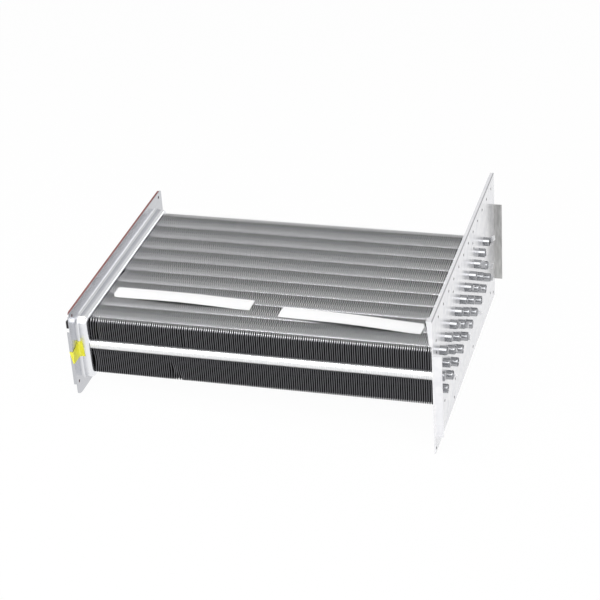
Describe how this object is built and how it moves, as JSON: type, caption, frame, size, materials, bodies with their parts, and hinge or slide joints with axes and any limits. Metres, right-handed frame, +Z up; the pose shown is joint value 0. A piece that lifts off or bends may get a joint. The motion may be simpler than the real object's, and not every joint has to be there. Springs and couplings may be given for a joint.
{
  "type": "furnace heat exchanger",
  "caption": "Finned tube heat exchanger for a furnace: a staggered tube bank through a fin pack, between a flanged tube sheet and a pressed collector pan.",
  "frame": {"origin": "outer face of the tube sheet, at the middle of the tube bank and on the middle row's centre line", "axes": "+X along the tubes and out of the tube sheet, +Y to the long end of the tube sheet, +Z up"},
  "size_m": [0.3915, 0.329, 0.152],
  "materials": {
    "fin_aluminium": "thin bare sheet",
    "tube_steel": "bright stainless",
    "galvanised_sheet": "bright galvanised",
    "pan_steel": "pressed satin sheet",
    "gasket_brown": "matt",
    "black_foam": "matt",
    "yellow_tape": "satin",
    "white_paper": "matt paper"
  },
  "bodies": {
    "root": {"fin_pack": "fin_aluminium", "tube_sheet": "galvanised_sheet", "collector_pan": "pan_steel", "collector_gasket": "gasket_brown", "corner_seal": "black_foam", "yellow_tape": "yellow_tape", "paper_strip_left": "white_paper", "paper_strip_right": "white_paper", "tube_top_01": "tube_steel", "tube_top_02": "tube_steel", "tube_top_03": "tube_steel", "tube_top_04": "tube_steel", "tube_top_05": "tube_steel", "tube_top_06": "tube_steel", "tube_top_07": "tube_steel", "tube_top_08": "tube_steel", "tube_top_09": "tube_steel", "tube_top_10": "tube_steel", "tube_middle_01": "tube_steel", "tube_middle_02": "tube_steel", "tube_middle_03": "tube_steel", "tube_middle_04": "tube_steel", "tube_middle_05": "tube_steel", "tube_middle_06": "tube_steel", "tube_middle_07": "tube_steel", "tube_middle_08": "tube_steel", "tube_middle_09": "tube_steel", "tube_middle_10": "tube_steel", "tube_bottom_01": "tube_steel", "tube_bottom_02": "tube_steel", "tube_bottom_03": "tube_steel", "tube_bottom_04": "tube_steel", "tube_bottom_05": "tube_steel", "tube_bottom_06": "tube_steel", "tube_bottom_07": "tube_steel", "tube_bottom_08": "tube_steel", "tube_bottom_09": "tube_steel", "tube_bottom_10": "tube_steel"}
  },
  "joints": []
}
